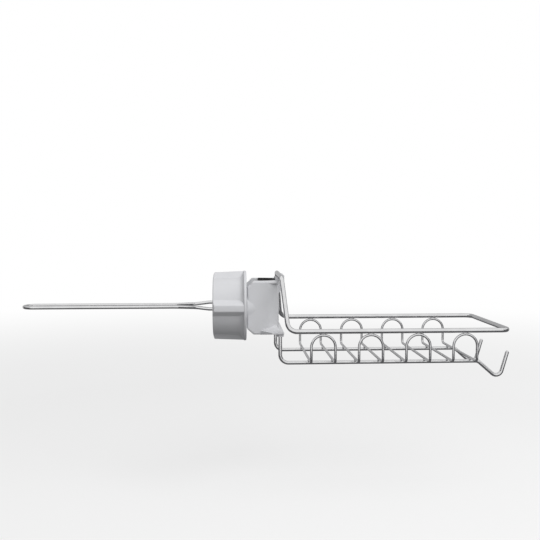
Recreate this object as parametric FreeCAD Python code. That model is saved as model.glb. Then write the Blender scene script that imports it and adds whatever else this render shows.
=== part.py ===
import FreeCAD, Part
import math
import os

from FreeCAD import Vector

# Sponge holder: a plastic U-clamp with a nut knob, a stainless wire basket and a wire towel bar.
# The origin is on the axis of the gripped tube, at the clamp's mid height. +X points to the basket,
# +Z up, and the knob and the towel bar lie towards -X. All sizes are in millimetres.

# Tube that the clamp grips, and the rubber strip in its seat
tube_diameter = 25.0
liner_wall = 1.0
liner_proud = 0.5
liner_leg = 2.0

# Clamp body
body_height = 46.0
arm_wall = 7.7
back_wall = 1.8
back_corner_radius = 10.5
shoulder_reach = 12.5
arm_chamfer_length = 5.5
arm_chamfer_height = 5.0
body_edge_round = 1.5
plate_thickness = 2.0
plate_corner_radius = 4.0
collar_rise = 1.0
collar_length = 7.0
thread_rise = 0.6
thread_depth = 1.4
thread_length = 21.0

# Ledge at the clamp's top, which carries the basket's crossbar
ledge_height = 2.0
ledge_half_width = 13.0
ledge_lip_wall = 1.75
ledge_lip_height = 0.5
ledge_gusset = 11.0
ledge_slope = 6.0
ledge_round = 0.6

# Wings at the clamp's foot, with the sockets of the lower rails
wing_edge = 4.5
wing_length = 10.0
wing_sweep = 11.0
wing_thickness = 3.4
wing_rim = 1.0
wing_cove_height = 6.0
wing_corner_radius = 3.0
wing_root_inset = 2.5
wing_sections = 9
socket_depth = 2.6
socket_wall = 1.6
boss_wall = 1.4
socket_offset = 15.2

# Nut knob
knob_wall = 4.0
rib_count = 4
rib_height = 4.2
nose_width = 5.5
rib_foot_width = 13.5
nose_edge_round = 1.5
rib_foot_round = 2.0
nose_draft = 1.1
knob_turn_angle = 1.0
flange_lip = 0.4
flange_thickness = 2.5
flange_round = 0.9
cove_length = 4.5
crown_width = 7.5
crown_radius = 17.4
crown_edge_round = 1.0
web_thickness = 3.0
cap_thickness = 1.3
cap_ledge = 1.2

# Pressure shoe, its rubber pad and the clip on its stem
pad_thickness = 2.5
pad_curve_share = 1.45
shoe_plate = 7.0
stem_wall = 2.5
stem_proud = 0.5
clip_thickness = 1.0
clip_overhang = 2.2
clip_groove_depth = 1.0
clip_opening = 8.0

# Towel bar
bar_wire = 3.0
bar_reach = 165.0
bar_loop_width = 18.0
bar_leg_spacing = 6.0
bar_leg_inset = 18.0
bar_neck_reach = 14.5
bar_neck_gap = 0.2
bar_flare = 18.0
bar_bend_radius = 14.0

# Basket wires
rail_wire = 4.0
lower_wire = 3.2
hoop_wire = 2.2
basket_width = 96.0
basket_left = 20.8
basket_right = 206.2
rail_drop = 16.6
basket_depth = 26.2
rail_end_radius = 7.0
rail_corner_radius = 8.0
riser_spacing = 62.0
riser_top_radius = 4.0
lower_rail_spacing = 63.0
lower_bend_radius = 7.0
hoop_count = 4
hoop_span = 20.0
hoop_pitch = 39.7
first_hoop = 49.8
hoop_bend_radius = 3.0

# Hooks at the ends of the lower rails
hook_start = 185.5
hook_out = 18.9
hook_drop = 16.4
hook_rise = 24.9
hook_lean = 7.1
hook_bend_radius = 6.0
hook_throat_radius = 5.0

# Clearances
liner_fit = 0.05
wire_fit = 0.05
bar_fit = 0.1
weld_gap = 0.05
crossbar_gap = 0.7
tube_gap = 0.1
slot_play = 0.3
pad_fit = 0.05
shoe_corner_gap = 1.8
thread_play = 0.4
shoulder_gap = 0.4
stub_end_gap = 2.5
stem_play = 0.35
clip_play = 0.35
clip_cover_gap = 0.4
cap_fit = 0.05
cut_overrun = 1.0
shortest_run = 0.01

# Places that follow from the sizes above
tube_radius = tube_diameter / 2
seat_radius = tube_radius + liner_wall
arm_half = seat_radius + arm_wall
half_height = body_height / 2
back_x = seat_radius + back_wall
shoulder_x = -shoulder_reach
thread_radius = arm_half + thread_rise
core_radius = thread_radius - thread_depth
stub_end_x = shoulder_x - thread_length

bore_radius = thread_radius + thread_play
flank_radius = bore_radius + knob_wall
nose_radius = flank_radius + rib_height
flange_radius = nose_radius + flange_lip
knob_back_x = shoulder_x - shoulder_gap
flange_front_x = knob_back_x - flange_thickness
bore_floor_x = stub_end_x - stub_end_gap
web_face_x = bore_floor_x - web_thickness
clip_back_x = web_face_x - clip_play
clip_front_x = clip_back_x - clip_thickness
cap_back_x = clip_front_x - clip_cover_gap
knob_front_x = cap_back_x - cap_thickness

pad_face_x = -tube_radius - tube_gap
pad_curve_radius = tube_radius * pad_curve_share
pad_curve_x = pad_face_x + pad_curve_radius
shoe_curve_radius = pad_curve_radius + pad_thickness
shoe_half_width = seat_radius - slot_play
shoe_half_height = math.sqrt((bore_radius - shoe_corner_gap) ** 2 - shoe_half_width ** 2)
shoe_back_x = pad_face_x - pad_thickness - shoe_plate
stem_radius = bar_leg_spacing / 2 + bar_wire / 2 + stem_wall
stem_end_x = knob_front_x - stem_proud
clip_groove_radius = stem_radius - clip_groove_depth
clip_radius = stem_radius + clip_overhang
clip_room_radius = clip_radius + stem_play
cap_radius = clip_room_radius + cap_ledge
stem_hole_radius = stem_radius + stem_play

crossbar_x = seat_radius + crossbar_gap + rail_wire / 2
crossbar_z = half_height + ledge_height + rail_wire / 2
rail_z = -rail_drop
hoop_top_z = rail_z - rail_wire / 2 - weld_gap - hoop_wire / 2
floor_z = rail_z - basket_depth
lower_rail_z = floor_z - hoop_wire / 2 - weld_gap - lower_wire / 2
lower_rail_y = lower_rail_spacing / 2
half_width = basket_width / 2
x_axis = Vector(1, 0, 0)
y_axis = Vector(0, 1, 0)
z_axis = Vector(0, 0, 1)


def round_bar(radius, start, end):
    """A round bar from one point to another."""
    return Part.makeCylinder(radius, (end - start).Length, start, end - start)


def block(low, high):
    """A box between two opposite corners."""
    size = high - low
    return Part.makeBox(size.x, size.y, size.z, low)


def face_of(edges):
    """A flat face inside a closed row of edges."""
    return Part.Face(Part.Wire(edges))


def bent_path(points, radii):
    """Straight runs through the points, with a tangent arc at each inner point."""
    edges = []
    start = points[0]
    for before, corner, after, radius in zip(points, points[1:], points[2:], radii):
        coming = (corner - before).normalize()
        going = (after - corner).normalize()
        half_turn = coming.getAngle(going) / 2
        trim = radius * math.tan(half_turn)
        inward = (going - coming).normalize()
        arc_start = corner - coming * trim
        arc_middle = corner + inward * (radius / math.cos(half_turn) - radius)
        arc_end = corner + going * trim
        if (arc_start - start).Length > shortest_run:
            edges.append(Part.LineSegment(start, arc_start).toShape())
        edges.append(Part.Arc(arc_start, arc_middle, arc_end).toShape())
        start = arc_end
    if (points[-1] - start).Length > shortest_run:
        edges.append(Part.LineSegment(start, points[-1]).toShape())
    return Part.Wire(edges)


def bent_wire(points, radii, diameter):
    """A round wire bent along a path."""
    path = bent_path(points, radii)
    section = Part.Wire(Part.Circle(points[0], points[1] - points[0], diameter / 2).toShape())
    solid = path.makePipeShell([section], True, False)
    expected = math.pi * (diameter / 2) ** 2 * path.Length
    print("wire volume against section times length:", round(solid.Volume / expected, 5))
    return solid


def mirrored_loop(half):
    """A closed loop of wire from the half on the -Y side."""
    other = half.mirror(Vector(0, 0, 0), y_axis)
    return half.fuse(other).removeSplitter()


def foot_outline(front_x, tip_x, rear_x, root, half, z):
    """A closed outline in plan: straight at the root, swept out to the tips, with rounded back corners."""
    turn = wing_corner_radius * (1 - math.sqrt(0.5))
    side = [(front_x, root), (tip_x, half), (rear_x - wing_corner_radius, half),
            (rear_x - turn, half - turn), (rear_x, half - wing_corner_radius)]
    front, tip, corner, middle, back = [Vector(x, -y, z) for x, y in side]
    far_front, far_tip, far_corner, far_middle, far_back = [Vector(x, y, z) for x, y in side]
    return Part.Wire([
        Part.LineSegment(front, tip).toShape(),
        Part.LineSegment(tip, corner).toShape(),
        Part.Arc(corner, middle, back).toShape(),
        Part.LineSegment(back, far_back).toShape(),
        Part.Arc(far_back, far_middle, far_corner).toShape(),
        Part.LineSegment(far_corner, far_tip).toShape(),
        Part.LineSegment(far_tip, far_front).toShape(),
        Part.LineSegment(far_front, front).toShape(),
    ])


def clamp_slab(corner_radius, bottom, top):
    """A slab with the U's plan: rounded back corners and, at the arms' ends, the chamfers."""
    front = shoulder_x
    corner = back_x - corner_radius
    flat = arm_half - corner_radius
    turn = corner_radius * math.sqrt(0.5)
    places = [(front, -arm_half), (corner, -arm_half), (back_x, -flat),
              (back_x, flat), (corner, arm_half), (front, arm_half)]
    points = [Vector(x, y, bottom) for x, y in places]
    outline = [
        Part.LineSegment(points[0], points[1]).toShape(),
        Part.Arc(points[1], Vector(corner + turn, -flat - turn, bottom), points[2]).toShape(),
        Part.LineSegment(points[2], points[3]).toShape(),
        Part.Arc(points[3], Vector(corner + turn, flat + turn, bottom), points[4]).toShape(),
        Part.LineSegment(points[4], points[5]).toShape(),
        Part.LineSegment(points[5], points[0]).toShape(),
    ]
    slab = face_of(outline).extrude(z_axis * (top - bottom))
    for side in (1, -1):
        tip = Vector(front, -arm_half - cut_overrun, side * (half_height - arm_chamfer_height))
        inner = Vector(front + arm_chamfer_length, tip.y, side * half_height)
        outside = Vector(front, tip.y, side * half_height)
        wedge = Part.Face(Part.makePolygon([tip, inner, outside, tip]))
        slab = slab.cut(wedge.extrude(y_axis * (arm_half + cut_overrun) * 2))
    return slab


def clamp_block():
    """The U's solid block with softened edges, and a top plate whose back corners are squarer."""
    body = clamp_slab(back_corner_radius, -half_height, half_height)
    body = body.makeFillet(body_edge_round, body.Edges)
    plate = clamp_slab(plate_corner_radius, half_height - plate_thickness, half_height)
    plate_foot = half_height - plate_thickness + shortest_run
    upper = [edge for edge in plate.Edges if edge.BoundBox.ZMin > plate_foot]
    plate = plate.makeFillet(body_edge_round, upper)
    return body.fuse(plate)


def crossbar_ledge():
    """The ledge at the top of the clamp's back, with a lip that holds the crossbar from outside."""
    groove = rail_wire / 2 + wire_fit
    inner_x = tube_radius
    lip_x = crossbar_x + groove
    outer_x = lip_x + ledge_lip_wall
    foot_z = half_height - ledge_gusset
    shelf_z = crossbar_z - groove
    lip_z = crossbar_z + ledge_lip_height
    turn = groove * math.sqrt(0.5)
    y = -ledge_half_width
    points = [Vector(crossbar_x, y, shelf_z), Vector(inner_x, y, shelf_z), Vector(inner_x, y, foot_z),
              Vector(back_x, y, foot_z), Vector(outer_x, y, foot_z + ledge_slope), Vector(outer_x, y, lip_z),
              Vector(lip_x, y, lip_z), Vector(lip_x, y, crossbar_z)]
    edges = [Part.LineSegment(a, b).toShape() for a, b in zip(points, points[1:])]
    middle = Vector(crossbar_x + turn, y, crossbar_z - turn)
    edges.append(Part.Arc(points[-1], middle, points[0]).toShape())
    ledge = face_of(edges).extrude(y_axis * ledge_half_width * 2)
    outer = [edge for edge in ledge.Edges if edge.BoundBox.XMin > lip_x + ledge_round]
    return ledge.makeFillet(ledge_round, outer)


def foot_wings():
    """The skirt that sweeps out from the arms, thin at its rim, and the bosses of the two lower sockets."""
    foot_x = socket_offset + lower_wire / 2 + wire_fit + socket_wall
    tip_x = foot_x - wing_length
    front_x = tip_x - wing_sweep
    wing_half = lower_rail_y + wing_edge
    root_half = arm_half - wing_root_inset
    root_back = back_x - wing_root_inset
    top_z = -half_height + wing_thickness
    sections = []
    for step in range(wing_sections):
        angle = math.pi / 2 * step / (wing_sections - 1)
        spread = 1 - math.cos(angle)
        half = root_half + (wing_half - root_half) * spread
        back = root_back + (foot_x - root_back) * spread
        z = top_z + wing_cove_height * (1 - math.sin(angle))
        sections.append(foot_outline(front_x, tip_x, back, root_half, half, z))
    sections.append(foot_outline(front_x, tip_x, foot_x, root_half, wing_half, -half_height))
    wings = Part.makeLoft(sections, True, True)
    lift = wing_thickness - wing_rim
    wing_end = wing_half + cut_overrun
    for side in (-1, 1):
        outline = [(arm_half, -half_height), (wing_half, -half_height + lift),
                   (wing_end, -half_height + lift), (wing_end, -body_height), (arm_half, -body_height)]
        points = [Vector(front_x, side * y, z) for y, z in outline]
        hollow = Part.Face(Part.makePolygon(points + points[:1]))
        wings = wings.cut(hollow.extrude(x_axis * (foot_x - front_x + cut_overrun)))
        boss_foot = Vector(socket_offset, side * lower_rail_y, -half_height)
        boss_top = boss_foot + z_axis * wing_thickness
        wings = wings.fuse(round_bar(lower_wire / 2 + wire_fit + boss_wall, boss_foot, boss_top))
    return wings


def make_clamp_body():
    core_start = Vector(shoulder_x + collar_length, 0, 0)
    stub = round_bar(core_radius, core_start, Vector(stub_end_x, 0, 0))
    collar = Part.makeCone(arm_half, arm_half + collar_rise, collar_length, core_start, -x_axis)
    body = clamp_block()
    for addition in (stub, collar, crossbar_ledge(), foot_wings()):
        body = body.fuse(addition)
    bore_low = Vector(0, 0, -body_height)
    slot_low = Vector(stub_end_x - cut_overrun, -seat_radius, -body_height)
    slot = block(slot_low, Vector(0, seat_radius, body_height))
    cuts = [round_bar(seat_radius, bore_low, Vector(0, 0, body_height)), slot]
    for side in (-1, 1):
        mouth = Vector(socket_offset, side * lower_rail_y, -half_height - cut_overrun)
        roof = Vector(mouth.x, mouth.y, -half_height + socket_depth)
        cuts.append(round_bar(lower_wire / 2 + wire_fit, mouth, roof))
    for hollow in cuts:
        body = body.cut(hollow)
    return body.removeSplitter()


def make_grip_liner():
    outer = seat_radius - liner_fit
    low = Vector(0, 0, -half_height - liner_proud)
    high = Vector(0, 0, half_height + liner_proud)
    back = Vector(seat_radius + cut_overrun, seat_radius, high.z)
    strip = round_bar(outer, low, high).common(block(Vector(0, -seat_radius, low.z), back))
    strip = strip.fuse(block(Vector(-liner_leg, -outer, low.z), Vector(0, outer, high.z)))
    bore = round_bar(tube_radius, low, high)
    mouth = block(Vector(-liner_leg, -tube_radius, low.z), Vector(0, tube_radius, high.z))
    return strip.cut([bore, mouth]).removeSplitter()


def ribbed_outline(x, size):
    """The knob's outline at one depth: a circle with broad ribs, whose sides slope down to it."""
    nose = nose_radius * size
    flank = flank_radius * size
    nose_angle = math.asin(nose_width / 2 / nose)
    foot_angle = math.asin(rib_foot_width / 2 / flank)
    sector = 2 * math.pi / rib_count

    def at(radius, angle):
        return Vector(x, radius * math.cos(angle), radius * math.sin(angle))

    edges = []
    for rib in range(rib_count):
        middle = rib * sector - math.radians(knob_turn_angle)
        following = middle + sector
        start = at(nose, middle - nose_angle)
        end = at(nose, middle + nose_angle)
        foot = at(flank, middle + foot_angle)
        next_foot = at(flank, following - foot_angle)
        edges.append(Part.Arc(start, at(nose, middle), end).toShape())
        edges.append(Part.LineSegment(end, foot).toShape())
        edges.append(Part.Arc(foot, at(flank, middle + sector / 2), next_foot).toShape())
        edges.append(Part.LineSegment(next_foot, at(nose, following - nose_angle)).toShape())
    return Part.Wire(edges)


def off_axis(edge):
    """How far an edge's middle lies from the knob's axis."""
    return math.hypot(edge.CenterOfMass.y, edge.CenterOfMass.z)


def ribbed_grip():
    """The knob's ribbed body, slimmer at the front so that it leaves its mould, with rounded ribs."""
    front_size = (nose_radius - nose_draft) / nose_radius
    root_x = knob_back_x - flange_thickness / 2
    outlines = [ribbed_outline(root_x, 1), ribbed_outline(knob_front_x, front_size)]
    grip = Part.makeLoft(outlines, True, True)
    lengthwise = [edge for edge in grip.Edges if edge.BoundBox.XLength > shortest_run]
    half_way = flank_radius + rib_height / 2
    noses = [edge for edge in lengthwise if off_axis(edge) > half_way]
    feet = [edge for edge in lengthwise if off_axis(edge) < half_way]
    return grip.makeFillet(nose_edge_round, noses).makeFillet(rib_foot_round, feet)


def turned(points_and_arcs):
    """A solid turned about the X axis from a profile of lines and three-point arcs, in x and radius."""
    edges = []
    corners = [Vector(x, r, 0) for x, r, middle in points_and_arcs]
    for index, (x, r, middle) in enumerate(points_and_arcs):
        end = corners[(index + 1) % len(corners)]
        if middle is None:
            edges.append(Part.LineSegment(corners[index], end).toShape())
        else:
            edges.append(Part.Arc(corners[index], Vector(middle[0], middle[1], 0), end).toShape())
    return face_of(edges).revolve(Vector(0, 0, 0), x_axis, 360)


def flange_and_cove():
    """The knob's round flange, with rounded rims, and the cove that runs from it to the flanks."""
    turn = 1 - math.sqrt(0.5)
    rim_radius = flange_radius - flange_round
    rim_middle = flange_radius - flange_round * turn
    cove_end_x = flange_front_x - cove_length
    cove_middle = flank_radius + (rim_radius - flank_radius) * turn
    return turned([
        (knob_back_x, bore_radius, None),
        (knob_back_x, rim_radius, (knob_back_x - flange_round * turn, rim_middle)),
        (knob_back_x - flange_round, flange_radius, None),
        (flange_front_x + flange_round, flange_radius, (flange_front_x + flange_round * turn, rim_middle)),
        (flange_front_x, rim_radius, (flange_front_x - cove_length * turn, cove_middle)),
        (cove_end_x, flank_radius, None),
        (cove_end_x, bore_radius, None),
    ])


def make_knob():
    grip = ribbed_grip()
    crown_flat = nose_radius - crown_width
    crown_drop = crown_radius - math.sqrt(crown_radius ** 2 - crown_width ** 2)
    half_angle = math.asin(crown_width / crown_radius) / 2
    crown_middle = (knob_front_x + crown_radius * (1 - math.cos(half_angle)),
                    crown_flat + crown_radius * math.sin(half_angle))
    crown = turned([
        (knob_back_x, 0, None),
        (knob_back_x, nose_radius + cut_overrun, None),
        (knob_front_x + crown_drop, nose_radius + cut_overrun, None),
        (knob_front_x + crown_drop, nose_radius, crown_middle),
        (knob_front_x, crown_flat, None),
        (knob_front_x, 0, None),
    ])
    grip = grip.common(crown)
    rim_x = knob_front_x + crown_drop + shortest_run
    front = [edge for edge in grip.Edges if edge.BoundBox.XMax < rim_x]
    rim = [edge for edge in front if off_axis(edge) > crown_flat + shortest_run]
    grip = grip.makeFillet(crown_edge_round, rim)
    knob = grip.fuse(flange_and_cove())
    recess_front = Vector(knob_front_x - cut_overrun, 0, 0)
    hollows = [
        round_bar(bore_radius, Vector(knob_back_x + cut_overrun, 0, 0), Vector(bore_floor_x, 0, 0)),
        round_bar(stem_hole_radius, Vector(0, 0, 0), recess_front),
        round_bar(clip_room_radius, Vector(web_face_x, 0, 0), recess_front),
        round_bar(cap_radius, Vector(cap_back_x, 0, 0), recess_front),
    ]
    for hollow in hollows:
        knob = knob.cut(hollow)
    return knob.removeSplitter()


def make_knob_cap():
    back = Vector(cap_back_x, 0, 0)
    front = Vector(knob_front_x, 0, 0)
    ring = round_bar(cap_radius - cap_fit, back, front)
    return ring.cut(round_bar(stem_hole_radius, back, front))


def make_pressure_shoe():
    plate = block(Vector(shoe_back_x, -shoe_half_width, -shoe_half_height),
                  Vector(0, shoe_half_width, shoe_half_height))
    hollow = round_bar(shoe_curve_radius, Vector(pad_curve_x, 0, -body_height),
                       Vector(pad_curve_x, 0, body_height))
    plate = plate.cut(hollow)
    stem = round_bar(stem_radius, Vector(shoe_back_x + shoe_plate / 2, 0, 0), Vector(stem_end_x, 0, 0))
    groove_back = Vector(clip_back_x, 0, 0)
    groove_front = Vector(clip_front_x, 0, 0)
    groove = round_bar(stem_radius + cut_overrun, groove_back, groove_front)
    groove = groove.cut(round_bar(clip_groove_radius, groove_back, groove_front))
    cuts = [groove]
    for side in (-1, 1):
        height = side * bar_leg_spacing / 2
        cuts.append(round_bar(bar_wire / 2 + bar_fit, Vector(stem_end_x - cut_overrun, 0, height),
                              Vector(stem_end_x + bar_leg_inset + cut_overrun, 0, height)))
    return plate.fuse(stem).cut(cuts).removeSplitter()


def make_shoe_pad():
    low = Vector(pad_curve_x, 0, -shoe_half_height)
    high = Vector(pad_curve_x, 0, shoe_half_height)
    layer = round_bar(shoe_curve_radius - pad_fit, low, high).cut(round_bar(pad_curve_radius, low, high))
    keep = block(Vector(pad_curve_x - shoe_curve_radius, -shoe_half_width, low.z),
                 Vector(pad_curve_x - pad_curve_radius / 2, shoe_half_width, high.z))
    return layer.common(keep)


def make_retaining_clip():
    back = Vector(clip_back_x, 0, 0)
    front = Vector(clip_front_x, 0, 0)
    ring = round_bar(clip_radius, back, front).cut(round_bar(clip_groove_radius + wire_fit, back, front))
    opening = block(Vector(clip_front_x, -clip_opening / 2, -clip_radius),
                    Vector(clip_back_x, clip_opening / 2, 0))
    return ring.cut(opening)


def make_towel_bar():
    """A hairpin: two legs in the stem, a narrow neck, then a flat loop with a round end."""
    leg_z = bar_leg_spacing / 2
    neck_z = bar_wire / 2 + bar_neck_gap / 2
    loop_y = bar_loop_width / 2
    socket_x = stem_end_x + bar_leg_inset
    bend_x = stem_end_x - bar_wire
    neck_x = knob_front_x - bar_neck_reach
    flare_x = neck_x - bar_flare
    tip_x = knob_front_x - bar_reach + bar_wire / 2
    points = [
        Vector(socket_x, 0, -leg_z),
        Vector(bend_x, 0, -leg_z),
        Vector(neck_x, 0, -neck_z),
        Vector(flare_x, -loop_y, 0),
        Vector(tip_x, -loop_y, 0),
        Vector(tip_x, 0, 0),
    ]
    radii = [bar_bend_radius, bar_bend_radius, bar_bend_radius, loop_y]
    lower_half = bent_wire(points, radii, bar_wire)
    upper_half = lower_half.copy()
    upper_half.rotate(Vector(0, 0, 0), x_axis, 180)
    return lower_half.fuse(upper_half).removeSplitter()


def make_top_rail():
    points = [
        Vector(crossbar_x, 0, crossbar_z),
        Vector(crossbar_x, -riser_spacing / 2, crossbar_z),
        Vector(basket_left, -half_width, rail_z),
        Vector(basket_right, -half_width, rail_z),
        Vector(basket_right, 0, rail_z),
    ]
    radii = [riser_top_radius, rail_corner_radius, rail_end_radius]
    return mirrored_loop(bent_wire(points, radii, rail_wire))


def make_lower_rail(side):
    y = side * lower_rail_y
    bottom_x = hook_start + hook_out
    bottom_z = lower_rail_z - hook_drop
    points = [
        Vector(socket_offset, y, -half_height + socket_depth - wire_fit),
        Vector(socket_offset, y, lower_rail_z),
        Vector(hook_start, y, lower_rail_z),
        Vector(bottom_x, y, bottom_z),
        Vector(bottom_x + hook_lean, y, bottom_z + hook_rise),
    ]
    return bent_wire(points, [lower_bend_radius, hook_bend_radius, hook_throat_radius], lower_wire)


def make_hoop(centre_x):
    """Two arches under the top rail, joined under the basket by two cross wires."""
    left = centre_x - hoop_span / 2
    right = centre_x + hoop_span / 2
    arch_radius = hoop_span / 2
    points = [
        Vector(left, 0, floor_z),
        Vector(left, -half_width, floor_z),
        Vector(left, -half_width, hoop_top_z),
        Vector(right, -half_width, hoop_top_z),
        Vector(right, -half_width, floor_z),
        Vector(right, 0, floor_z),
    ]
    radii = [hoop_bend_radius, arch_radius, arch_radius, hoop_bend_radius]
    return mirrored_loop(bent_wire(points, radii, hoop_wire))


def save(shape, node):
    """One file for each piece, with its count of solids and volume printed."""
    print(node, len(shape.Solids), "solids,", round(shape.Volume, 2), "mm3, valid", shape.isValid())
    shape.exportStep("parts/" + node + ".step")


os.makedirs("parts", exist_ok=True)
save(make_clamp_body(), "clamp_body")
save(make_grip_liner(), "grip_liner")
save(make_pressure_shoe(), "pressure_shoe")
save(make_shoe_pad(), "shoe_pad")
save(make_retaining_clip(), "retaining_clip")
save(make_knob(), "knob")
save(make_knob_cap(), "knob_cap")
save(make_towel_bar(), "towel_bar")
save(make_top_rail(), "top_rail")
save(make_lower_rail(-1), "lower_rail_front")
save(make_lower_rail(1), "lower_rail_back")
for hoop in range(hoop_count):
    save(make_hoop(first_hoop + hoop * hoop_pitch), "basket_hoop_" + str(hoop + 1))
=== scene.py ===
import math

import bpy
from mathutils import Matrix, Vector


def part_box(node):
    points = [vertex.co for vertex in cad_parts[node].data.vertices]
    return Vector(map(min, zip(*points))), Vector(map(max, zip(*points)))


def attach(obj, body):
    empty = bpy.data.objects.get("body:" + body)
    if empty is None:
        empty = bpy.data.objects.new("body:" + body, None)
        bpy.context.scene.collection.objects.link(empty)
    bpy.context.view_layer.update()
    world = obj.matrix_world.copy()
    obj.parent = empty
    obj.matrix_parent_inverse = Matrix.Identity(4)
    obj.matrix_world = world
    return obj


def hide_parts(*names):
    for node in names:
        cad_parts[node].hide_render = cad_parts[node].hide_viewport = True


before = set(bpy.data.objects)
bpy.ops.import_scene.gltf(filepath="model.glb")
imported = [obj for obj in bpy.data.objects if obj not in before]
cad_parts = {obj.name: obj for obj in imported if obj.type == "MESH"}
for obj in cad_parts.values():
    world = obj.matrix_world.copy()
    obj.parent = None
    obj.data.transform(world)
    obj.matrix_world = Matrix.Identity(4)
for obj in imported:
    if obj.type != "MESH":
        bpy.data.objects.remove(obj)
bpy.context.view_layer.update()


# Clamp body: a U that goes round an upright tube, moulded in one piece from light grey ABS.
# Its ledge takes the basket's crossbar and its foot has a socket on each side for the lower wires.
# The mould has a fine spark grain, which leaves the plastic satin.

mm = 0.001
pale_grey = (0.66, 0.665, 0.685, 1)
deep_grey = (0.625, 0.63, 0.65, 1)
grain_size = 0.35 * mm
grain_depth = 0.02 * mm
grain_strength = 0.35
flow_size = 14 * mm
satin_roughness = (0.36, 0.46)
noise_low = 0.3
noise_high = 0.7


def add_node(tree, kind, inputs=None, **settings):
    """A node in a tree, with its settings, and its inputs as values or as links."""
    made = tree.nodes.new(kind)
    for name, value in settings.items():
        setattr(made, name, value)
    for name, value in (inputs or {}).items():
        if isinstance(value, bpy.types.NodeSocket):
            tree.links.new(value, made.inputs[name])
        else:
            made.inputs[name].default_value = value
    return made


def new_material(name):
    """An empty node material, with its tree and its surface shader."""
    material = bpy.data.materials.new(name)
    material.use_nodes = True
    tree = material.node_tree
    return material, tree, tree.nodes["Principled BSDF"]


def noise_at(tree, place, size, detail):
    """Noise with features of about that size, in the units of the place that it reads."""
    inputs = {"Vector": place, "Scale": 1 / size, "Detail": detail}
    return add_node(tree, "ShaderNodeTexNoise", inputs).outputs["Fac"]


def between(tree, factor, low, high):
    """A number that swings from low to high with a noise."""
    inputs = {"Value": factor, "From Min": noise_low, "From Max": noise_high, "To Min": low, "To Max": high}
    return add_node(tree, "ShaderNodeMapRange", inputs).outputs["Result"]


def tint_between(tree, factor, first, second):
    """A colour that drifts between two with a noise."""
    ramp = add_node(tree, "ShaderNodeValToRGB", {"Fac": factor})
    for stop, place, colour in zip(ramp.color_ramp.elements, (noise_low, noise_high), (first, second)):
        stop.position = place
        stop.color = colour
    return ramp.outputs["Color"]


def raise_grain(tree, shader, height, depth, strength):
    """Bump from a height that is worth the given depth in metres."""
    inputs = {"Height": height, "Distance": depth, "Strength": strength}
    tree.links.new(add_node(tree, "ShaderNodeBump", inputs).outputs["Normal"], shader.inputs["Normal"])


def satin_abs(name):
    """Moulded ABS: a fine grain, faint flow clouds in the colour and an uneven satin gloss."""
    material, tree, shader = new_material(name)
    place = add_node(tree, "ShaderNodeTexCoord").outputs["Object"]
    flow = noise_at(tree, place, flow_size, detail=3)
    grain = noise_at(tree, place, grain_size, detail=2)
    tree.links.new(tint_between(tree, flow, pale_grey, deep_grey), shader.inputs["Base Color"])
    tree.links.new(between(tree, grain, *satin_roughness), shader.inputs["Roughness"])
    raise_grain(tree, shader, grain, grain_depth, grain_strength)
    return material


def dress(node, material):
    """Puts a material on every slot of a CAD node."""
    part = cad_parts[node]
    for slot in part.material_slots:
        slot.material = material


grey_abs = satin_abs("grey_abs")
dress("clamp_body", grey_abs)


# Thread of the split stub: a coarse right-hand ridge on the two half-round jaws that the knob runs on.
# It is moulded with the clamp, so it has the same plastic, and the slot for the tube cuts each turn short.

thread_pitch = 3.0 * mm
thread_base = 2.2 * mm
thread_crest = 0.8 * mm
thread_height = 1.35 * mm
thread_core = 20.35 * mm
thread_start = -31.2 * mm
thread_turns = 6
thread_steps = 16
slot_half = 13.75 * mm


def start_tree(name, sizes):
    """A Geometry Nodes tree with a geometry input, named inputs for its sizes, and an output."""
    tree = bpy.data.node_groups.new(name, "GeometryNodeTree")
    tree.interface.new_socket("Geometry", in_out="INPUT", socket_type="NodeSocketGeometry")
    for label, kind in sizes.items():
        tree.interface.new_socket(label, in_out="INPUT", socket_type="NodeSocket" + kind)
    tree.interface.new_socket("Geometry", in_out="OUTPUT", socket_type="NodeSocketGeometry")
    return tree, tree.nodes.new("NodeGroupInput").outputs


def end_tree(tree, geometry, material):
    """Smooth shading, real geometry and the material, as the last nodes of a tree."""
    smooth = add_node(tree, "GeometryNodeSetShadeSmooth", {"Geometry": geometry})
    real = add_node(tree, "GeometryNodeRealizeInstances", {"Geometry": smooth.outputs["Geometry"]})
    inputs = {"Geometry": real.outputs["Geometry"], "Material": material}
    dressed = add_node(tree, "GeometryNodeSetMaterial", inputs)
    add_node(tree, "NodeGroupOutput", {"Geometry": dressed.outputs["Geometry"]})
    return tree


def line_object(name, points, closed=False):
    """Points joined by edges, for a tree to follow."""
    last = len(points) - 1
    edges = [(step, step + 1) for step in range(last)]
    if closed:
        edges.append((last, 0))
    mesh = bpy.data.meshes.new(name)
    mesh.from_pydata(points, edges, [])
    line = bpy.data.objects.new(name, mesh)
    bpy.context.scene.collection.objects.link(line)
    return line


def grow(line, tree, values):
    """Runs a tree on an object and keeps the result as its plain mesh."""
    modifier = line.modifiers.new(tree.name, "NODES")
    modifier.node_group = tree
    for socket in tree.interface.items_tree:
        if socket.in_out == "INPUT" and socket.name in values:
            modifier[socket.identifier] = values[socket.name]
    evaluated = line.evaluated_get(bpy.context.evaluated_depsgraph_get())
    mesh = bpy.data.meshes.new_from_object(evaluated)
    line.modifiers.clear()
    line.data = mesh
    return line


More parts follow.
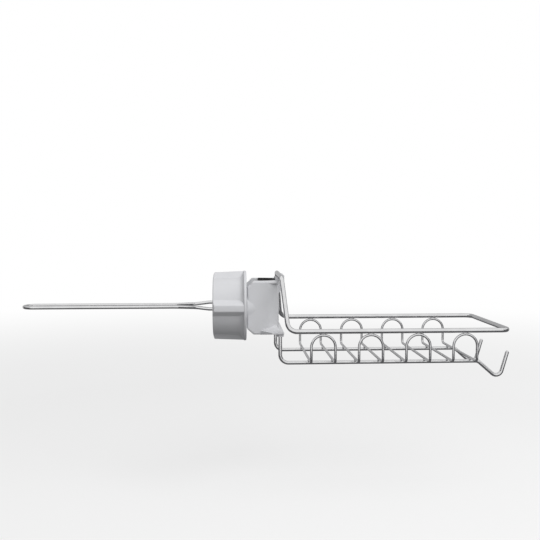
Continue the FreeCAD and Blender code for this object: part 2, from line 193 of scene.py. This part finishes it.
def ridge_tree():
    """A trapezoid swept along one stretch of thread, then repeated turn by turn."""
    sizes = {"Base": "Float", "Crest": "Float", "Height": "Float", "Turns": "Int", "Pitch": "Vector",
             "Material": "Material"}
    tree, given = start_tree("thread_ridges", sizes)
    path = add_node(tree, "GeometryNodeMeshToCurve", {"Mesh": given["Geometry"]})
    across = {"Curve": path.outputs["Curve"], "Normal": (1, 0, 0)}
    upright = add_node(tree, "GeometryNodeSetCurveNormal", across, mode="FREE")
    shape = {"Bottom Width": given["Base"], "Top Width": given["Crest"], "Height": given["Height"],
             "Offset": 0.0}
    section = add_node(tree, "GeometryNodeCurvePrimitiveQuadrilateral", shape, mode="TRAPEZOID")
    sweep = {"Curve": upright.outputs["Curve"], "Profile Curve": section.outputs["Curve"], "Fill Caps": True}
    ridge = add_node(tree, "GeometryNodeCurveToMesh", sweep)
    turns = add_node(tree, "GeometryNodeMeshLine", {"Count": given["Turns"], "Offset": given["Pitch"]})
    copies = {"Points": turns.outputs["Mesh"], "Instance": ridge.outputs["Mesh"]}
    row = add_node(tree, "GeometryNodeInstanceOnPoints", copies)
    return end_tree(tree, row.outputs["Instances"], given["Material"])


thread = ridge_tree()
reach = math.acos(slot_half / thread_core)
for jaw, middle in (("front_jaw_thread", math.pi), ("back_jaw_thread", 0)):
    stretch = []
    for step in range(thread_steps + 1):
        angle = middle + reach * (2 * step / thread_steps - 1)
        along = thread_start + thread_pitch * angle / (2 * math.pi)
        radius = thread_core + thread_height / 2
        stretch.append((along, radius * math.cos(angle), radius * math.sin(angle)))
    ridges = line_object(jaw, stretch)
    grow(ridges, thread, {"Base": thread_base, "Crest": thread_crest, "Height": thread_height,
                          "Turns": thread_turns, "Pitch": (thread_pitch, 0, 0), "Material": grey_abs})
    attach(ridges, "clamp")


# Grip liner and shoe pad: the black rubber faces that hold the tube, one pressed into the U's seat and
# one glued to the shoe. They are moulded from a soft nitrile rubber with a matt, slightly dusty skin.

rubber_black = (0.014, 0.014, 0.015, 1)
rubber_worn = (0.03, 0.03, 0.031, 1)
rubber_grain = 0.5 * mm
rubber_depth = 0.04 * mm
rubber_strength = 0.5
rubber_roughness = (0.6, 0.8)
dust_size = 6 * mm


def matt_rubber(name):
    """Black rubber with a fine grain and paler, drier patches."""
    material, tree, shader = new_material(name)
    place = add_node(tree, "ShaderNodeTexCoord").outputs["Object"]
    dust = noise_at(tree, place, dust_size, detail=5)
    grain = noise_at(tree, place, rubber_grain, detail=3)
    tree.links.new(tint_between(tree, dust, rubber_black, rubber_worn), shader.inputs["Base Color"])
    tree.links.new(between(tree, dust, *rubber_roughness), shader.inputs["Roughness"])
    raise_grain(tree, shader, grain, rubber_depth, rubber_strength)
    return material


black_rubber = matt_rubber("black_rubber")
dress("grip_liner", black_rubber)
dress("shoe_pad", black_rubber)


# Top rail: one closed loop of 4 mm stainless wire, bent cold round pins, butt welded and then polished.
# Its crossbar lies in the clamp's ledge, two risers spread down to the long rails, and the far end closes it.

rail_wire = 4.0 * mm
rail_left = 20.8 * mm
riser_spacing = 62.0 * mm
riser_bend = 4.0 * mm
corner_bend = 8.0 * mm
end_bend = 7.0 * mm
wire_sides = 20
bend_steps = 14
bright_steel = (0.74, 0.74, 0.745, 1)
grey_steel = (0.66, 0.66, 0.665, 1)
wire_roughness = (0.1, 0.2)
marks_per_radian = 4
marks_per_metre = 30
mark_depth = 0.004 * mm
mark_strength = 0.3
speckle_size = 0.6 * mm
tarnish_size = 9 * mm


def draw_marks(tree):
    """Noise drawn out along a wire, from its length and its place round the wire, so it has no seam."""
    around = add_node(tree, "ShaderNodeAttribute", attribute_name="around").outputs["Vector"]
    along = add_node(tree, "ShaderNodeAttribute", attribute_name="along").outputs["Fac"]
    lift = add_node(tree, "ShaderNodeCombineXYZ", {"Z": along}).outputs["Vector"]
    on_wire = add_node(tree, "ShaderNodeVectorMath", {0: around, 1: lift}, operation="ADD").outputs["Vector"]
    spread = {"Vector": on_wire, "Scale": (marks_per_radian, marks_per_radian, marks_per_metre)}
    drawn_out = add_node(tree, "ShaderNodeMapping", spread).outputs["Vector"]
    return noise_at(tree, drawn_out, size=1, detail=3)


def polished_steel(name, roughness, drawn):
    """Stainless steel with an uneven gloss: draw marks along a wire, or a fine speckle on other steel."""
    material, tree, shader = new_material(name)
    shader.inputs["Metallic"].default_value = 1.0
    place = add_node(tree, "ShaderNodeTexCoord").outputs["Object"]
    marks = draw_marks(tree) if drawn else noise_at(tree, place, speckle_size, detail=3)
    cloud = noise_at(tree, place, tarnish_size, detail=3)
    tree.links.new(tint_between(tree, cloud, bright_steel, grey_steel), shader.inputs["Base Color"])
    tree.links.new(between(tree, marks, *roughness), shader.inputs["Roughness"])
    raise_grain(tree, shader, marks, mark_depth, mark_strength)
    return material


def wire_tree():
    """A round wire along a line of corners: each corner is bent to its radius, and the wire is repeated."""
    sizes = {"Wire diameter": "Float", "Sides": "Int", "Steps per bend": "Int", "Copies": "Int",
             "Pitch": "Vector", "Material": "Material"}
    tree, given = start_tree("bent_wire", sizes)
    path = add_node(tree, "GeometryNodeMeshToCurve", {"Mesh": given["Geometry"]})
    bend = add_node(tree, "GeometryNodeInputNamedAttribute", {"Name": "bend"}, data_type="FLOAT")
    corners = {"Curve": path.outputs["Curve"], "Count": given["Steps per bend"],
               "Radius": bend.outputs["Attribute"], "Limit Radius": True}
    bent = add_node(tree, "GeometryNodeFilletCurve", corners, mode="POLY")
    length = add_node(tree, "GeometryNodeSplineParameter")
    marks = {"Geometry": bent.outputs["Curve"], "Name": "along", "Value": length.outputs["Length"]}
    marked = add_node(tree, "GeometryNodeStoreNamedAttribute", marks, data_type="FLOAT", domain="POINT")
    half = add_node(tree, "ShaderNodeMath", {0: given["Wire diameter"], 1: 0.5}, operation="MULTIPLY")
    circle = {"Resolution": given["Sides"], "Radius": half.outputs["Value"]}
    section = add_node(tree, "GeometryNodeCurvePrimitiveCircle", circle)
    rim = add_node(tree, "GeometryNodeInputPosition").outputs["Position"]
    facing = add_node(tree, "ShaderNodeVectorMath", {0: rim}, operation="NORMALIZE").outputs["Vector"]
    turn = {"Geometry": section.outputs["Curve"], "Name": "around", "Value": facing}
    turned = add_node(tree, "GeometryNodeStoreNamedAttribute", turn, data_type="FLOAT_VECTOR", domain="POINT")
    taper = add_node(tree, "GeometryNodeInputNamedAttribute", {"Name": "taper"}, data_type="FLOAT")
    sweep = {"Curve": marked.outputs["Geometry"], "Profile Curve": turned.outputs["Geometry"],
             "Scale": taper.outputs["Attribute"], "Fill Caps": True}
    wire = add_node(tree, "GeometryNodeCurveToMesh", sweep)
    places = add_node(tree, "GeometryNodeMeshLine", {"Count": given["Copies"], "Offset": given["Pitch"]})
    copies = {"Points": places.outputs["Mesh"], "Instance": wire.outputs["Mesh"]}
    row = add_node(tree, "GeometryNodeInstanceOnPoints", copies)
    return end_tree(tree, row.outputs["Instances"], given["Material"])


def bent_wire(name, corners, bends, diameter, closed=False, copies=1, pitch=0.0, tapers=None):
    """A wire through corner points, with a bend radius at each and, at a cut end, a taper."""
    line = line_object(name, corners, closed)
    for label, values in (("bend", bends), ("taper", tapers or [1.0] * len(corners))):
        line.data.attributes.new(label, "FLOAT", "POINT").data.foreach_set("value", values)
    return grow(line, bent_wire_tree, {
        "Wire diameter": diameter, "Sides": wire_sides, "Steps per bend": bend_steps,
        "Copies": copies, "Pitch": (pitch, 0.0, 0.0), "Material": stainless_wire})


bent_wire_tree = wire_tree()
stainless_wire = polished_steel("stainless_wire", wire_roughness, drawn=True)

low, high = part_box("top_rail")
half_wire = rail_wire / 2
crossbar = Vector((low.x + half_wire, riser_spacing / 2, high.z - half_wire))
side_y = high.y - half_wire
rail_z = low.z + half_wire
rail_right = high.x - half_wire
front_half = [
    (crossbar.x, -crossbar.y, crossbar.z),
    (rail_left, -side_y, rail_z),
    (rail_right, -side_y, rail_z),
]
back_half = [(x, -y, z) for x, y, z in reversed(front_half)]
rail_bends = [riser_bend, corner_bend, end_bend]
top_rail = bent_wire("top_rail_wire", front_half + back_half, rail_bends + rail_bends[::-1], rail_wire,
                     closed=True)
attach(top_rail, "clamp")
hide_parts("top_rail")


# Lower rails: two 3.2 mm stainless wires, pressed into the sockets under the clamp's foot, that run under
# the basket and end in an open hook past its far end. The cut ends of the hooks are tumbled round.

lower_wire = 3.2 * mm
lower_bend = 7.0 * mm
hook_start = 185.5 * mm
hook_out = 18.9 * mm
hook_drop = 16.4 * mm
hook_rise = 24.9 * mm
hook_lean = 7.1 * mm
hook_bend = 6.0 * mm
throat_bend = 5.0 * mm
weld_gap = 0.05 * mm
dome_steps = 6

basket_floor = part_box("basket_hoop_1")[0].z
lower_z = basket_floor - weld_gap - lower_wire / 2
for node in ("lower_rail_front", "lower_rail_back"):
    low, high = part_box(node)
    y = (low.y + high.y) / 2
    socket_x = low.x + lower_wire / 2
    hook_bottom = Vector((hook_start + hook_out, y, lower_z - hook_drop))
    tip = hook_bottom + Vector((hook_lean, 0, hook_rise))
    corners = [(socket_x, y, high.z), (socket_x, y, lower_z), (hook_start, y, lower_z), tuple(hook_bottom)]
    bends = [0.0, lower_bend, hook_bend, throat_bend]
    tapers = [1.0] * len(corners)
    inward = (hook_bottom - tip).normalized()
    for step in range(dome_steps, 0, -1):
        angle = math.pi / 2 * step / dome_steps
        corners.append(tuple(tip + inward * lower_wire / 2 * (1 - math.cos(angle))))
        bends.append(0.0)
        tapers.append(math.sin(angle))
    rail = bent_wire(node + "_wire", corners, bends, lower_wire, tapers=tapers)
    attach(rail, "clamp")
    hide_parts(node)


# Basket hoops: four closed hoops of 2.2 mm stainless wire, with an arch on each side of the basket and two
# cross wires under it. Each is bent in one piece and spot welded to the rails.

hoop_wire = 2.2 * mm
hoop_bend = 3.0 * mm
hoops = ["basket_hoop_1", "basket_hoop_2", "basket_hoop_3", "basket_hoop_4"]

low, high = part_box(hoops[0])
inset = Vector((hoop_wire, hoop_wire, hoop_wire)) / 2
low = low + inset
high = high - inset
hoop_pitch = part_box(hoops[1])[0].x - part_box(hoops[0])[0].x
arch_bend = (high.x - low.x) / 2
one_side = [(low.x, low.y, low.z), (low.x, low.y, high.z), (high.x, low.y, high.z), (high.x, low.y, low.z)]
other_side = [(x, high.y, z) for x, y, z in reversed(one_side)]
side_bends = [hoop_bend, arch_bend, arch_bend, hoop_bend]
hoop_row = bent_wire("hoop_wires", one_side + other_side, side_bends * 2, hoop_wire,
                     closed=True, copies=len(hoops), pitch=hoop_pitch)
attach(hoop_row, "clamp")
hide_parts(*hoops)


# Spot welds: small squeezed nuggets of the wires' own steel, where each arch meets the top rail and where
# each cross wire lies on a lower rail. They are a little duller than the polished wire.

arch_nugget = Vector((2.4, 1.0, 0.8)) * mm
cross_nugget = Vector((1.5, 1.5, 0.7)) * mm
nugget_detail = 3
weld_roughness = (0.22, 0.38)


def nugget_tree():
    """A rounded nugget on every point of the mesh."""
    tree, given = start_tree("weld_nuggets", {"Size": "Vector", "Detail": "Int", "Material": "Material"})
    ball = add_node(tree, "GeometryNodeMeshIcoSphere", {"Radius": 1.0, "Subdivisions": given["Detail"]})
    copies = {"Points": given["Geometry"], "Instance": ball.outputs["Mesh"], "Scale": given["Size"]}
    spots = add_node(tree, "GeometryNodeInstanceOnPoints", copies)
    return end_tree(tree, spots.outputs["Instances"], given["Material"])


weld_steel = polished_steel("weld_steel", weld_roughness, drawn=False)
nuggets = nugget_tree()
hoop_lefts = [low.x + hoop_pitch * count for count in range(len(hoops))]
rail_y = [sum(corner.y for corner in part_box(node)) / 2 for node in ("lower_rail_front", "lower_rail_back")]
arch_spots = [(x + arch_bend, y, high.z + hoop_wire / 2) for x in hoop_lefts for y in (low.y, high.y)]
cross_spots = [(x + step, y, low.z - hoop_wire / 2)
               for x in hoop_lefts for step in (0, 2 * arch_bend) for y in rail_y]
for name, spots, size in (("arch_welds", arch_spots, arch_nugget),
                          ("cross_welds", cross_spots, cross_nugget)):
    welds = line_object(name, spots)
    grow(welds, nuggets, {"Size": size, "Detail": nugget_detail, "Material": weld_steel})
    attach(welds, "clamp")


# Pressure shoe, knob and knob cap: grey ABS mouldings like the clamp. The shoe slides in the U's slot, the
# knob turns on its stem, and a spring steel clip on the stem under the cap keeps the two together.

clip_roughness = (0.3, 0.45)

for node in ("pressure_shoe", "knob", "knob_cap"):
    dress(node, grey_abs)
dress("retaining_clip", polished_steel("clip_steel", clip_roughness, drawn=False))


# Thread in the knob's bore: the mating ridge, moulded with the knob. It lies half a pitch beside the stub's
# ridges, with play all round, so the two run past each other without touching while the knob turns.

bore_ridge_base = 1.9 * mm
bore_ridge_crest = 0.6 * mm
bore_ridge_inside = 20.8 * mm
bore_ridge_outside = 22.25 * mm
bore_turns = 6
turn_steps = 36

helix = []
radius = (bore_ridge_inside + bore_ridge_outside) / 2
bore_start = thread_start - thread_pitch / 2
for step in range(bore_turns * turn_steps + 1):
    turns = step / turn_steps
    angle = 2 * math.pi * turns
    helix.append((bore_start + thread_pitch * turns, radius * math.cos(angle), radius * math.sin(angle)))
bore_thread = line_object("bore_thread", helix)
# This ridge points inwards, so its narrow crest is the base of the swept section.
grow(bore_thread, thread, {"Base": bore_ridge_crest, "Crest": bore_ridge_base,
                           "Height": bore_ridge_outside - bore_ridge_inside,
                           "Turns": 1, "Pitch": (thread_pitch, 0, 0), "Material": grey_abs})
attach(bore_thread, "knob")


# Towel bar: one 3 mm stainless spring wire, bent to a hairpin. Its two legs spring into holes in the shoe's
# stem, so it stays level when the knob turns, and it pulls straight out.

bar_wire = 3.0 * mm
bar_leg_inset = 18.0 * mm
bar_neck_reach = 14.5 * mm
stem_proud = 0.5 * mm
bar_neck_gap = 0.2 * mm
bar_flare = 18.0 * mm
bar_bend = 14.0 * mm
bar_lead = 3.0 * mm

low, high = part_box("towel_bar")
loop_y = high.y - bar_wire / 2
leg_z = high.z - bar_wire / 2
neck_z = (bar_wire + bar_neck_gap) / 2
stem_end = high.x - bar_leg_inset
neck_x = stem_end + stem_proud - bar_neck_reach
lower_leg = [
    (high.x, 0.0, -leg_z),
    (stem_end - bar_lead, 0.0, -leg_z),
    (neck_x, 0.0, -neck_z),
    (neck_x - bar_flare, -loop_y, 0.0),
    (low.x + bar_wire / 2, -loop_y, 0.0),
]
upper_leg = [(x, -y, -z) for x, y, z in reversed(lower_leg)]
leg_bends = [0.0, bar_bend, bar_bend, bar_bend, loop_y]
towel_bar = bent_wire("towel_bar_wire", lower_leg + upper_leg, leg_bends + leg_bends[::-1], bar_wire)
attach(towel_bar, "towel_bar")
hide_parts("towel_bar")


# Studio: a pale floor well under the part, which hangs on its clamp, in a white room with a soft light
# overhead, in front and to the right. Grey flags below, at both sides and behind are seen only in
# reflections, and give the polished wires their dark edges.

floor_z = -166 * mm
floor_half = 6.0
floor_paint = 0.88
floor_roughness = 0.8
floor_bounce = 0.29
floor_glow = 0.5
fade_start = 0.35
fade_end = 1.6
room_light = 0.48
softbox_size = 1.6
softbox_height = 1.2
softbox_forward = -1.0
softbox_side = 0.6
softbox_power = 23.5
flag_height = -0.14
flag_near = 0.5
flag_far = 2.5
card_lip = 0.01
side_flag_arc = 70
side_flag_turn = 15
side_flag_top = 1.0
back_flag_arc = 140
back_flag_top = 3.7
flag_steps = 24
dark_grey = (0.13, 0.13, 0.135, 1)
mid_grey = (0.48, 0.48, 0.485, 1)


def seen_rays(tree):
    """One for a ray from the camera or off a mirror or through glass, zero for one that only lights."""
    ray = add_node(tree, "ShaderNodeLightPath").outputs
    mirrored = {0: ray["Is Glossy Ray"], 1: ray["Is Transmission Ray"]}
    beyond = add_node(tree, "ShaderNodeMath", mirrored, operation="MAXIMUM").outputs["Value"]
    either = {0: ray["Is Camera Ray"], 1: beyond}
    return add_node(tree, "ShaderNodeMath", either, operation="MAXIMUM").outputs["Value"]


def glow(tree, colour):
    """A plain light of its own, which a strength of one keeps at the colour as written."""
    return add_node(tree, "ShaderNodeEmission", {"Color": colour, "Strength": 1.0}).outputs["Emission"]


def fading_floor():
    """Pale paint, which takes the part's shadow, throws little light back and fades to white further out."""
    material, tree, shader = new_material("floor_paint")
    lit = add_node(tree, "ShaderNodeLightPath").outputs["Is Diffuse Ray"]
    paint = {"Value": lit, "To Min": floor_paint, "To Max": floor_bounce}
    tree.links.new(add_node(tree, "ShaderNodeMapRange", paint).outputs["Result"], shader.inputs["Base Color"])
    shader.inputs["Roughness"].default_value = floor_roughness
    place = add_node(tree, "ShaderNodeTexCoord").outputs["Object"]
    flat = add_node(tree, "ShaderNodeVectorMath", {0: place, 1: (1, 1, 0)}, operation="MULTIPLY")
    out = add_node(tree, "ShaderNodeVectorMath", {0: flat.outputs["Vector"]}, operation="LENGTH")
    span = {"Value": out.outputs["Value"], "From Min": fade_start, "From Max": fade_end, "To Min": floor_glow}
    far = add_node(tree, "ShaderNodeMapRange", span, interpolation_type="SMOOTHSTEP").outputs["Result"]
    share = add_node(tree, "ShaderNodeMath", {0: far, 1: seen_rays(tree)}, operation="MULTIPLY")
    blend = {0: share.outputs["Value"], 1: shader.outputs["BSDF"], 2: glow(tree, (1, 1, 1, 1))}
    mixed = add_node(tree, "ShaderNodeMixShader", blend).outputs["Shader"]
    tree.links.new(mixed, tree.nodes["Material Output"].inputs["Surface"])
    return material


def grey_flag(name, middle, arc, near, far, top, colour):
    """A grey screen that shows only in reflections: a flat sector over the floor, then a wall at its rim.

    Its middle and its arc are in degrees, counted from +X towards +Y.
    """
    points = []
    faces = []
    per_step = 3
    foot = Vector((0, 0, flag_height))
    for step in range(flag_steps + 1):
        angle = math.radians(middle + arc * (step / flag_steps - 0.5))
        across = Vector((math.cos(angle), math.sin(angle), 0))
        points += [across * near + foot, across * far + foot, across * far + foot + Vector((0, 0, top))]
    for step in range(flag_steps):
        inner, rim, edge = range(per_step * step, per_step * (step + 1))
        faces.append((inner, rim, rim + per_step, inner + per_step))
        faces.append((rim, edge, edge + per_step, rim + per_step))
    mesh = bpy.data.meshes.new(name)
    mesh.from_pydata(points, [], faces)
    material, tree, shader = new_material(name)
    tree.links.new(glow(tree, colour), tree.nodes["Material Output"].inputs["Surface"])
    tree.nodes.remove(shader)
    mesh.materials.append(material)
    flag = bpy.data.objects.new(name, mesh)
    bpy.context.scene.collection.objects.link(flag)
    flag.visible_camera = False
    flag.visible_diffuse = False
    flag.visible_transmission = False
    flag.visible_shadow = False


floor_mesh = bpy.data.meshes.new("floor")
ends = (-floor_half, floor_half)
floor_mesh.from_pydata([(x, y, floor_z) for x in ends for y in ends], [], [(0, 2, 3, 1)])
floor_mesh.materials.append(fading_floor())
floor = bpy.data.objects.new("floor", floor_mesh)
bpy.context.scene.collection.objects.link(floor)
grey_flag("low_card", 0, 360, 0.0, flag_near, card_lip, dark_grey)
grey_flag("left_flag", 180 + side_flag_turn, side_flag_arc, flag_near, flag_far, side_flag_top, dark_grey)
grey_flag("right_flag", -side_flag_turn, side_flag_arc, flag_near, flag_far, side_flag_top, dark_grey)
grey_flag("back_flag", 90, back_flag_arc, flag_near, flag_far, back_flag_top, mid_grey)

world = bpy.data.worlds.new("white_room")
world.use_nodes = True
room = world.node_tree
level = {"Value": seen_rays(room), "To Min": room_light, "To Max": 1.0}
strength = add_node(room, "ShaderNodeMapRange", level).outputs["Result"]
room.nodes["Background"].inputs["Color"].default_value = (1, 1, 1, 1)
room.links.new(strength, room.nodes["Background"].inputs["Strength"])
bpy.context.scene.world = world

softbox = bpy.data.lights.new("softbox", "AREA")
softbox.shape = "SQUARE"
softbox.size = softbox_size
softbox.energy = softbox_power
overhead = bpy.data.objects.new("softbox", softbox)
overhead.location = (softbox_side, softbox_forward, softbox_height)
overhead.visible_glossy = False
overhead.rotation_euler = (Vector((0, 0, 0)) - overhead.location).to_track_quat("-Z", "Y").to_euler()
bpy.context.scene.collection.objects.link(overhead)

camera_place = Vector((-25.8, -619.4, 70.8)) * mm
camera_aim = Vector((0.055, 1, -0.0638))
focal_pixels = 703.0
frame_pixels = 540
sensor_width = 36
camera = bpy.data.cameras.new("camera")
camera.sensor_width = sensor_width
camera.lens = sensor_width * focal_pixels / frame_pixels
viewer = bpy.data.objects.new("camera", camera)
viewer.location = camera_place
viewer.rotation_euler = camera_aim.to_track_quat("-Z", "Y").to_euler()
bpy.context.scene.collection.objects.link(viewer)
bpy.context.scene.camera = viewer
bpy.context.scene.view_settings.view_transform = "Standard"
